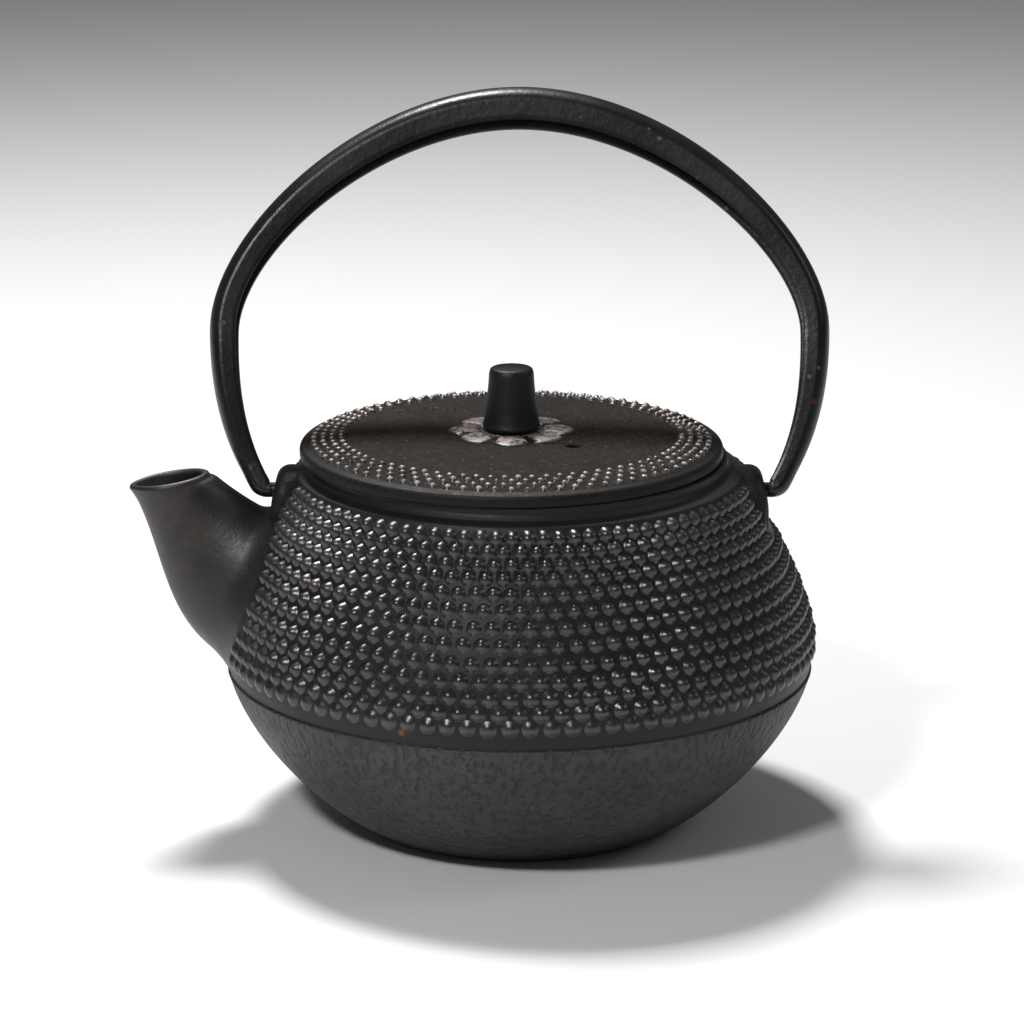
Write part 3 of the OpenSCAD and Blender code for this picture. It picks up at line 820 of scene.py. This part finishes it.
class TEAPOT_OT_casting(bpy.types.Operator):
    """Body, spout and ears of the one iron casting"""

    bl_idname = "teapot.casting"
    bl_label = "Casting"

    def execute(self, context):
        scene = context.scene
        b, s, e = scene.teapot_body, scene.teapot_spout, scene.teapot_ears
        outline = Outline(b)
        beak = Beak(b, s)

        bm = bmesh.new()
        turned(bm, casting_section(b), 256)
        shell = cut_by(mesh_from(bm, "pot_casting"), beak.solid(s.wall, s.lip_t),
                       *[self.bore(e, side) for side in (1, -1)])
        iron = casting_finish(scene.teapot_finish)
        piece("pot_casting", shell, "pot", iron, ("pot_bowl", "pot_shoulder"), crisp=40)

        bm = bmesh.new()

        def spout(u, v):
            if v < 0.62:
                return beak.at(1 - (1 - v / 0.62) ** 1.25, u, 0, -s.lip_t / 2 * ease(v / 0.62 * 6 - 5))
            if v < 0.70:
                a = (v - 0.62) / 0.08 * math.pi
                return beak.at(1, u, s.lip_t / 2 * (1 - math.cos(a)), s.lip_t / 2 * (math.sin(a) - 1))
            t = 1 - (v - 0.70) / 0.30
            return beak.at(t, u, blend(s.wall, s.lip_t, t) + 0.06 * MM, -s.lip_t / 2 * ease(t * 6 - 5))

        settle(bm, outline, s.fillet, skinned(bm, 112, 150, spout, 0.6), 1 * MM, b.shoulder_z)
        deep = [f for f in bm.faces if all(outline.above(v.co)[0] < -b.wall - 0.05 * MM for v in f.verts)]
        bmesh.ops.delete(bm, geom=deep, context="FACES")
        piece("spout_casting", mesh_from(bm, "spout"), "pot", spout_finish(scene.teapot_finish),
              ("spout",), 50)

        for side, node in ((1, "ear_right"), (-1, "ear_left")):
            ear = Ear(b, e, side)
            bm = bmesh.new()
            skin = skinned(bm, 96, 100, ear.at, 0.66)
            settle(bm, outline, e.fillet, skin, 1 * MM, b.shoulder_z - 1.5 * MM)
            piece(f"{node}_lug", mesh_from(bm, node), "pot", iron, (node,), 50)
        return {"FINISHED"}

    @staticmethod
    def bore(e, side):
        bm = bmesh.new()
        bmesh.ops.create_cone(bm, cap_ends=True, segments=32, radius1=e.bore_r + 0.2 * MM,
                              radius2=e.bore_r + 0.2 * MM, depth=e.bore_d + 3 * MM)
        bmesh.ops.rotate(bm, verts=bm.verts, matrix=Matrix.Rotation(math.pi / 2, 3, "Y"))
        bmesh.ops.translate(bm, verts=bm.verts,
                            vec=(side * (e.reach - e.bore_d / 2 + 1.4 * MM), 0, PIVOT_Z))
        return mesh_from(bm, "ear_bore")


# ---------------------------------------------------------------- studs


def stud_mesh(radius, rise, segments=10):
    """A cast bead: a soft foot, sloping sides and a small round top."""
    bm = bmesh.new()
    turned(bm, [(radius * 1.16, -0.12 * rise), (radius * 1.00, rise * 0.07), (radius * 0.82, rise * 0.34),
                (radius * 0.57, rise * 0.70), (radius * 0.28, rise * 0.93), (0, rise)], segments)
    return mesh_from(bm, "stud")


# Height of each ring of studs in millimetres, and how much of its height is left in it
STUD_RINGS = ((84.3, 0.95), (81.4, 1.0), (78.6, 1.0), (75.9, 1.0), (72.7, 1.0), (69.2, 1.0), (65.7, 0.97),
              (62.0, 0.95), (58.1, 0.95), (54.4, 0.92), (50.9, 0.90), (47.4, 0.86), (43.9, 0.66))


class TEAPOT_OT_body_studs(bpy.types.Operator):
    """Staggered rings of cast studs round the upper body"""

    bl_idname = "teapot.body_studs"
    bl_label = "Body studs"

    def execute(self, context):
        scene = context.scene
        b, st, e = scene.teapot_body, scene.teapot_studs, scene.teapot_ears
        outline, beak = Outline(b), Beak(b, scene.teapot_spout)
        stud = stud_mesh(st.size, st.rise)
        chance = random.Random(7)
        placements = []
        for ring, (height, left) in enumerate(STUD_RINGS):
            z = height * MM
            radius = outline.radius(z)[0]
            for k in range(st.per_ring):
                wobble, lift = chance.uniform(-1, 1), chance.uniform(-1, 1)
                grow, tall = 1 + 0.05 * chance.uniform(-1, 1), left * (1 + 0.10 * chance.uniform(-1, 1))
                a = TURN * (k + 0.5 * (ring % 2)) / st.per_ring + wobble * 0.0022
                co = Vector((radius * math.cos(a), radius * math.sin(a), z + lift * 0.12 * MM))
                if abs(co.y) < e.width / 2 + 2.4 * MM and z > (72 * MM if co.x > 0 else 60 * MM):
                    continue
                if co.x < 0 and near_spout(beak, co, 4.6 * MM) < 1:
                    continue
                normal = outline.above(co)[1]
                turn = normal.to_track_quat("Z", "Y").to_matrix().to_4x4()
                placements.append(Matrix.Translation(co) @ turn
                                  @ Matrix.Diagonal((grow, grow, tall, 1)))
        bm = bmesh.new()
        joined(bm, stud, placements)
        piece("body_studs", mesh_from(bm, "body_studs"), "pot", stud_finish(scene.teapot_finish), crisp=70)
        return {"FINISHED"}


# ---------------------------------------------------------------- lid and knob


def lid_height(lid, r):
    """Height of the lid's top above the seat at a distance from its centre."""
    edge = lid_radius() - lid.corner
    if r <= lid.flat_r:
        return lid.rim_t + lid.dome
    return lid.rim_t + lid.dome * (1 - min(1, (r - lid.flat_r) / (edge - lid.flat_r)) ** 3.2)


def lid_radius():
    return (LID_HIGH.x - LID_LOW.x) / 2


def lid_section(lid):
    edge = lid_radius() - lid.corner
    top = [Vector((0, lid_height(lid, 0)))]
    top += [Vector((r, lid_height(lid, r))) for r in (blend(lid.flat_r, edge, i / 40) for i in range(41))]
    round_edge = [Vector((edge + lid.corner * math.sin(a), lid.rim_t - lid.corner * (1 - math.cos(a))))
                  for a in (math.pi / 2 * k / 7 for k in range(1, 8))]
    inner = lid.skirt_r - lid.skirt_t
    low = rounded([tuple(round_edge[-1]), (lid_radius() - 0.05 * MM, 0), (lid.skirt_r, 0),
                   (lid.skirt_r, -lid.skirt_h), (inner, -lid.skirt_h),
                   (inner, lid_height(lid, inner) - lid.plate_t), (lid.flat_r, lid_height(lid, 0) - lid.plate_t),
                   (0, lid_height(lid, 0) - lid.plate_t)], {1: 0.7, 2: 0.8, 3: 0.5, 4: 0.4, 5: 1.6, 6: 6})
    return [Vector((p[0], SEAT_Z + p[1])) for p in top + round_edge + low[1:]]


class TEAPOT_OT_lid(bpy.types.Operator):
    """The flat lid with its skirt, steam vent and rings of small studs"""

    bl_idname = "teapot.lid"
    bl_label = "Lid"

    def execute(self, context):
        scene = context.scene
        lid, st = scene.teapot_lid, scene.teapot_studs
        bm = bmesh.new()
        turned(bm, lid_section(lid), 224)
        bmesh.ops.translate(bm, verts=bm.verts, vec=(LID_X, 0, 0))
        plate = mesh_from(bm, "lid")
        bm = bmesh.new()
        at = Vector((LID_X + lid.vent_at * math.cos(lid.vent_turn), lid.vent_at * math.sin(lid.vent_turn), SEAT_Z))
        turned(bm, rounded([(0, 0), (lid.vent_r, 0), (lid.vent_r, lid_height(lid, lid.vent_at) - 0.35 * MM),
                            (lid.vent_r + 0.9 * MM, lid_height(lid, lid.vent_at) + 0.3 * MM),
                            (0, lid_height(lid, lid.vent_at) + 0.3 * MM)], {2: 0.5}), 32)
        bmesh.ops.translate(bm, verts=bm.verts, vec=at)
        plate = cut_by(plate, mesh_from(bm, "steam_vent"))
        piece("lid_plate", plate, "lid", lid_finish(scene.teapot_finish), ("lid",), 40)

        stud = stud_mesh(st.lid_size, st.lid_rise, 9)
        chance = random.Random(11)
        placements = []
        for ring, r_mm in enumerate((47.6, 45.4, 43.2, 41.1)):
            r = r_mm * MM
            slope = (lid_height(lid, r + 0.2 * MM) - lid_height(lid, r - 0.2 * MM)) / (0.4 * MM)
            for k in range(st.lid_per_ring):
                grow, tall = 1 + 0.06 * chance.uniform(-1, 1), 1 + 0.14 * chance.uniform(-1, 1)
                a = TURN * (k + 0.5 * (ring % 2)) / st.lid_per_ring + 0.0025 * chance.uniform(-1, 1)
                co = Vector((LID_X + r * math.cos(a), r * math.sin(a), SEAT_Z + lid_height(lid, r)))
                normal = Vector((-slope * math.cos(a), -slope * math.sin(a), 1)).normalized()
                placements.append(Matrix.Translation(co) @ normal.to_track_quat("Z", "Y").to_matrix().to_4x4()
                                  @ Matrix.Diagonal((grow, grow, tall, 1)))
        bm = bmesh.new()
        joined(bm, stud, placements)
        piece("lid_studs", mesh_from(bm, "lid_studs"), "lid", worn_and_lit_finish(lid, "lid_stud_iron", 7 * MM),
              crisp=70)
        return {"FINISHED"}


class TEAPOT_OT_knob(bpy.types.Operator):
    """Knob, flower seat and the washer under the lid"""

    bl_idname = "teapot.knob"
    bl_label = "Knob"

    def execute(self, context):
        scene = context.scene
        lid, k = scene.teapot_lid, scene.teapot_knob
        seat = SEAT_Z + lid.rim_t + lid.dome
        base = seat + k.flower_t
        washer_z = seat - lid.plate_t - 1 * MM
        h = k.height
        knob = rounded([(0, h), (k.top_r - 0.4 * MM, h - 0.35 * MM), (k.top_r, h - 1.6 * MM),
                        (blend(k.base_r, k.top_r, 0.9), 0.72 * h), (blend(k.base_r, k.top_r, 0.68), 0.48 * h),
                        (blend(k.base_r, k.top_r, 0.5), 0.30 * h), (blend(k.base_r, k.top_r, 0.22), 0.12 * h),
                        (k.base_r, 0.6 * MM), (k.base_r - 0.4 * MM, 0)],
                       {1: 1.4, 2: 3, 3: 20, 4: 20, 5: 20, 6: 9, 7: 0.5}, 6)
        drop = washer_z - base
        tail = [(k.tenon_r, 0), (k.tenon_r, drop), (k.rivet_r, drop), (k.rivet_r, drop - 0.4 * MM),
                (k.rivet_r - 0.9 * MM, drop - k.rivet_t), (0, drop - k.rivet_t)]
        bm = bmesh.new()
        turned(bm, knob + rounded(tail, {3: 0.4, 4: 0.8}), 96)
        bmesh.ops.translate(bm, verts=bm.verts, vec=(LID_X, 0, base))
        matt = lacquer_finish(scene.teapot_finish, "knob_lacquer", 0.40, 0.03)
        piece("knob", mesh_from(bm, "lid_knob"), "lid", matt, ("lid_knob",), 40)

        def flower(u, v):
            a = u * TURN
            lobe = abs(math.cos(a * k.petals / 2))
            reach = k.flower_r * (0.76 + 0.24 * lobe ** 0.5)
            q = min(1, v / 0.92)
            r = blend(k.tenon_r, reach, q)
            share = (r - 1.08 * k.base_r) / (reach - 1.08 * k.base_r)
            swell = math.sin(math.pi * min(1, max(0, share)) ** 0.8) ** 0.55 if 0 < share < 1 else 0
            petal = swell * ease((lobe - 0.10) / 0.45)
            ring = math.exp(-((r - 1.02 * k.base_r) / (0.6 * MM)) ** 2)
            z = k.flower_t * (0.16 + 0.84 * max(petal, 0.55 * ring))
            if v > 0.92:
                z *= (1 - v) / 0.08
            return Vector((LID_X + r * math.cos(a), r * math.sin(a), seat + z))

        bm = bmesh.new()
        skinned(bm, 240, 40, flower)
        piece("flower", mesh_from(bm, "knob_flower_seat"), "lid",
              worn_and_lit_finish(lid, "flower_iron", 1.6 * MM), ("knob_flower_seat",), 60)

        washer = frame["nodes"]["knob_washer"]
        washer.data.materials.clear()
        washer.data.materials.append(lacquer_finish(scene.teapot_finish, "washer_iron", 0.45, 0.08))
        return {"FINISHED"}


# ---------------------------------------------------------------- bail


class TEAPOT_OT_bail(bpy.types.Operator):
    """The swinging bail: an arch of channel section, hooked into the ears at both ends"""

    bl_idname = "teapot.bail"
    bl_label = "Bail"

    def execute(self, context):
        scene = context.scene
        h = scene.teapot_bail
        reach = scene.teapot_ears.reach
        x, w, top = h.half_w, h.wide_h, h.top_h
        near = 0.16                                    # where the straight leg turns into the hook
        foot = Vector((reach + 1.95 * MM, 0))
        leg = [foot, foot + pair(6.8, 11), Vector((x, w - 16 * MM)), Vector((x, w))]
        arch = [Vector((x, w)), Vector((x, w + 22 * MM)), Vector((x * 0.514, top)), Vector((0, top))]
        start, way = on_curve(leg, near), along_curve(leg, near)
        hook = [Vector((reach + 0.25 * MM, 0)), Vector((reach + 2.6 * MM, -0.2 * MM)),
                start - way * (3.4 * MM), start]

        def thickness(share):
            return blend(h.t_end, h.t_side, 1 - (1 - share) ** 1.5)

        stations = []
        for i in range(26):
            t = i / 26
            stations.append((on_curve(hook, t), along_curve(hook, t),
                             blend(2 * h.pin_r, thickness(near), ease(2 * t)),
                             blend(h.w_end, blend(h.w_end, h.w_top, 0.06), t), ease((t - 0.35) / 0.65)))
        for i in range(34):
            t = blend(near, 1, i / 34)
            stations.append((on_curve(leg, t), along_curve(leg, t), thickness(t),
                             blend(h.w_end, blend(h.w_end, h.w_top, 0.75), ease(t)), 1))
        for i in range(61):
            t = i / 60
            stations.append((on_curve(arch, t), along_curve(arch, t), blend(h.t_side, h.t_top, ease(t)),
                             blend(blend(h.w_end, h.w_top, 0.75), h.w_top, t), 1))
        count = len(stations)

        def section(u, thick, width, hollow):
            """A point of the channel's closed section: back, lip, hollow, lip."""
            half, wall = width / 2, h.sheet_t
            bulge = 0.46 * thick
            low = -thick / 2
            if u < 0.5:                                # outside, from lip to lip over the back
                q = u / 0.5
                if q < 0.22 or q > 0.78:               # a flank, a little wider at the back than at the lip
                    share = min(q, 1 - q) / 0.22
                    across = half * (0.94 + 0.06 * share)
                    return across if q > 0.5 else -across, blend(low + 0.5 * wall, thick / 2 - bulge, share)
                a = math.pi * (q - 0.22) / 0.56
                return -half * math.cos(a), thick / 2 - bulge + bulge * math.sin(a)
            if u < 0.56 or u > 0.94:                   # round a lip
                side = 1 if u < 0.56 else -1
                q = (u - 0.5) / 0.06 if side > 0 else (1 - u) / 0.06
                a = math.pi * q
                mid = half * 0.94 - wall / 2
                return side * (mid + wall / 2 * math.cos(a)), low + 0.5 * wall - 0.5 * wall * math.sin(a)
            q = (u - 0.56) / 0.38                      # the hollow, from lip to lip
            inner = half * 0.94 - wall
            deep = (thick - 2.1 * wall) * hollow
            a = math.pi * q
            return inner * math.cos(a), low + 0.5 * wall + max(0.02 * MM, deep) * abs(math.sin(a)) ** 0.6

        lean = Matrix.Rotation(-h.lean, 4, "X")

        def bail(u, v):
            k = v * (2 * count - 2)
            side = 1 if k <= count - 1 else -1
            at, way, thick, width, hollow = stations[round(k if side > 0 else 2 * count - 2 - k)]
            out = Vector((way.y, -way.x))
            across, up = section(u, thick, width, hollow)
            p = at + out * up
            return lean @ Vector((side * p.x, across, p.y)) + Vector((0, 0, PIVOT_Z))

        bm = bmesh.new()
        skinned(bm, 72, 2 * count - 2, bail, 1e-6)
        bmesh.ops.holes_fill(bm, edges=[edge for edge in bm.edges if edge.is_boundary], sides=0)
        for side in (1, -1):
            made = bmesh.ops.create_cone(bm, cap_ends=True, segments=32, radius1=h.pin_r, radius2=h.pin_r,
                                         depth=6 * MM)["verts"]
            bmesh.ops.rotate(bm, verts=made, matrix=Matrix.Rotation(math.pi / 2, 3, "Y"))
            bmesh.ops.translate(bm, verts=made, vec=(side * (reach - 1.4 * MM), 0, 0))
            bmesh.ops.transform(bm, verts=made, matrix=Matrix.Translation((0, 0, PIVOT_Z)) @ lean)
        bmesh.ops.recalc_face_normals(bm, faces=bm.faces)
        gloss = lacquer_finish(scene.teapot_finish, "bail_lacquer", 0.27, 0.10)
        piece("bail_channel", mesh_from(bm, "bail_handle"), "bail", gloss, ("bail_handle",), 40)
        return {"FINISHED"}


# ---------------------------------------------------------------- strainer


def lay_weave(bm, place):
    """Gives each corner its place on the woven sheet, in metres."""
    uv = bm.loops.layers.uv.new("weave")
    for face in bm.faces:
        middle = face.calc_center_median()
        for loop in face.loops:
            loop[uv].uv = place(loop.vert.co, middle)


class TEAPOT_OT_strainer(bpy.types.Operator):
    """The lift-out strainer: flange and sleeve, woven wall, base ring and woven base"""

    bl_idname = "teapot.strainer"
    bl_label = "Strainer"

    def execute(self, context):
        scene = context.scene
        st, b = scene.teapot_strainer, scene.teapot_body
        steel = steel_finish(scene.teapot_finish)
        weave = weave_finish(scene.teapot_finish, st.mesh_pitch)
        low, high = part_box("strainer_rim")
        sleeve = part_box("strainer_base_ring")[1].x
        t = st.sheet_t
        inner, flange = sleeve - t, high.x
        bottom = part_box("strainer_base_ring")[0].z
        top = high.z
        rim = rounded([(inner, low.z), (sleeve, low.z), (sleeve, low.z + 2.4 * MM),
                       (sleeve + 0.35 * MM, low.z + 3.2 * MM), (sleeve, low.z + 4 * MM), (sleeve, top - st.flange_t), (flange, top - st.flange_t),
                       (flange, top), (inner + 0.3 * MM, top), (inner, top - 0.9 * MM), (inner, low.z + 4 * MM),
                       (inner + 0.3 * MM, low.z + 3.2 * MM), (inner, low.z + 2.4 * MM)],
                      {1: 0.2, 2: 1, 3: 1, 4: 1, 6: 0.35, 7: 0.35, 8: 0.6, 9: 0.6, 10: 1, 11: 1, 12: 1})
        bm = bmesh.new()
        turned(bm, rim, 160, closed=True)
        piece("strainer_sleeve", mesh_from(bm, "strainer_rim"), "strainer", steel, ("strainer_rim",), 40)

        ring_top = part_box("strainer_base_ring")[1].z
        ring = rounded([(inner - 0.1 * MM, bottom + t), (inner - 1.4 * MM, bottom + t), (inner - 1.4 * MM, bottom),
                        (sleeve, bottom), (sleeve, ring_top), (inner, ring_top)],
                       {1: 0.2, 2: 0.2, 3: 0.5, 4: 0.2})
        bm = bmesh.new()
        turned(bm, ring, 160, closed=True)
        piece("strainer_foot_ring", mesh_from(bm, "strainer_base_ring"), "strainer", steel,
              ("strainer_base_ring",), 40)

        r = inner - 0.15 * MM
        bm = bmesh.new()
        turned(bm, [(r, bottom + 0.4 * MM), (r, bottom + 15 * MM), (r, bottom + 30 * MM), (r, top - 3 * MM)], 160)
        lay_weave(bm, lambda co, mid: (self.about(co, mid) * r, co.z))
        piece("strainer_mesh", mesh_from(bm, "strainer_wall"), "strainer", weave, ("strainer_wall",), 60)

        bm = bmesh.new()
        turned(bm, rounded([(0, bottom + 1.3 * MM), (12 * MM, bottom + 1.3 * MM), (14 * MM, bottom + 0.6 * MM),
                            (r, bottom + 0.35 * MM)], {1: 2, 2: 2}), 120)
        lay_weave(bm, lambda co, mid: (co.x, co.y))
        piece("strainer_mesh_base", mesh_from(bm, "strainer_base"), "strainer", weave,
              ("strainer_base",), 60)
        return {"FINISHED"}

    @staticmethod
    def about(co, mid):
        """Angle of a corner, kept on its face's side of the cut at half a turn."""
        a, m = math.atan2(co.y, co.x), math.atan2(mid.y, mid.x)
        return a + TURN if m - a > math.pi else a - TURN if a - m > math.pi else a


# ---------------------------------------------------------------- stage


class TEAPOT_OT_stage(bpy.types.Operator):
    """A plain pale floor, soft studio lights and the camera"""

    bl_idname = "teapot.stage"
    bl_label = "Stage"

    def execute(self, context):
        scene = context.scene
        bm = bmesh.new()
        bmesh.ops.create_grid(bm, x_segments=1, y_segments=1, size=6.0)
        floor = bpy.data.objects.new("floor", mesh_from(bm, "floor"))
        scene.collection.objects.link(floor)
        paper = Sheet("pale_floor")
        floor.data.materials.append(paper.set(Base_Color=(0.80, 0.80, 0.80), Roughness=0.6, Specular_IOR_Level=0.2))

        world = bpy.data.worlds.new("studio")
        world.use_nodes = True
        world.node_tree.nodes["Background"].inputs["Color"].default_value = (0.92, 0.95, 1.0, 1)
        world.node_tree.nodes["Background"].inputs["Strength"].default_value = 0.10
        scene.world = world

        self.softbox("overhead", (-0.18, 0.44, 1.00), (0, 0, 0.05), 0.22, 0.18, 14.0)
        self.softbox("front", (-0.26, -0.52, 0.56), (-0.01, 0, 0.07), 0.11, 0.07, 2.9)
        self.softbox("side", (0.95, -0.10, 0.80), (0, 0, 0.06), 0.40, 0.40, 1.2)
        scene.view_settings.view_transform = "Standard"

        data = bpy.data.cameras.new("camera")
        data.lens, data.sensor_width = 137.0, 36.0
        data.clip_start, data.clip_end = 0.05, 30
        camera = bpy.data.objects.new("camera", data)
        camera.location = (-0.00186, -0.91146, 0.32529)
        camera.rotation_euler = (math.radians(90 - 15.31), 0, 0)
        scene.collection.objects.link(camera)
        scene.camera = camera
        return {"FINISHED"}

    @staticmethod
    def softbox(name, at, towards, width, height, watts):
        data = bpy.data.lights.new(name, "AREA")
        data.shape, data.size, data.size_y, data.energy = "RECTANGLE", width, height, watts
        light = bpy.data.objects.new(name, data)
        light.location = at
        light.rotation_euler = (Vector(towards) - Vector(at)).to_track_quat("-Z", "Y").to_euler()
        bpy.context.scene.collection.objects.link(light)


# ---------------------------------------------------------------- add-on


STEPS = (TEAPOT_OT_stage, TEAPOT_OT_casting, TEAPOT_OT_body_studs, TEAPOT_OT_lid, TEAPOT_OT_knob,
         TEAPOT_OT_bail, TEAPOT_OT_strainer)
GROUPS = {"teapot_body": TeapotBody, "teapot_studs": TeapotStuds, "teapot_spout": TeapotSpout,
          "teapot_ears": TeapotEars, "teapot_bail": TeapotBail, "teapot_lid": TeapotLid,
          "teapot_knob": TeapotKnob, "teapot_strainer": TeapotStrainer, "teapot_finish": TeapotFinish}


class TEAPOT_PT_sidebar(bpy.types.Panel):
    """The teapot's sizes and steps"""

    bl_idname = "TEAPOT_PT_sidebar"
    bl_label = "Studded Iron Teapot"
    bl_space_type = "VIEW_3D"
    bl_region_type = "UI"
    bl_category = "Teapot"

    def draw(self, context):
        for step in STEPS:
            self.layout.operator(step.bl_idname)
        for name, group in GROUPS.items():
            box = self.layout.box()
            box.label(text=group.__doc__)
            for key in group.__annotations__:
                box.prop(getattr(context.scene, name), key)


def register():
    for cls in (*GROUPS.values(), *STEPS, TEAPOT_PT_sidebar):
        bpy.utils.register_class(cls)
    for name, group in GROUPS.items():
        setattr(bpy.types.Scene, name, PointerProperty(type=group))


def unregister():
    for name in GROUPS:
        delattr(bpy.types.Scene, name)
    for cls in reversed((*GROUPS.values(), *STEPS, TEAPOT_PT_sidebar)):
        bpy.utils.unregister_class(cls)


def main():
    register()
    for step in STEPS:
        getattr(bpy.ops.teapot, step.bl_idname.split(".")[1])()


if __name__ == "__main__":
    main()
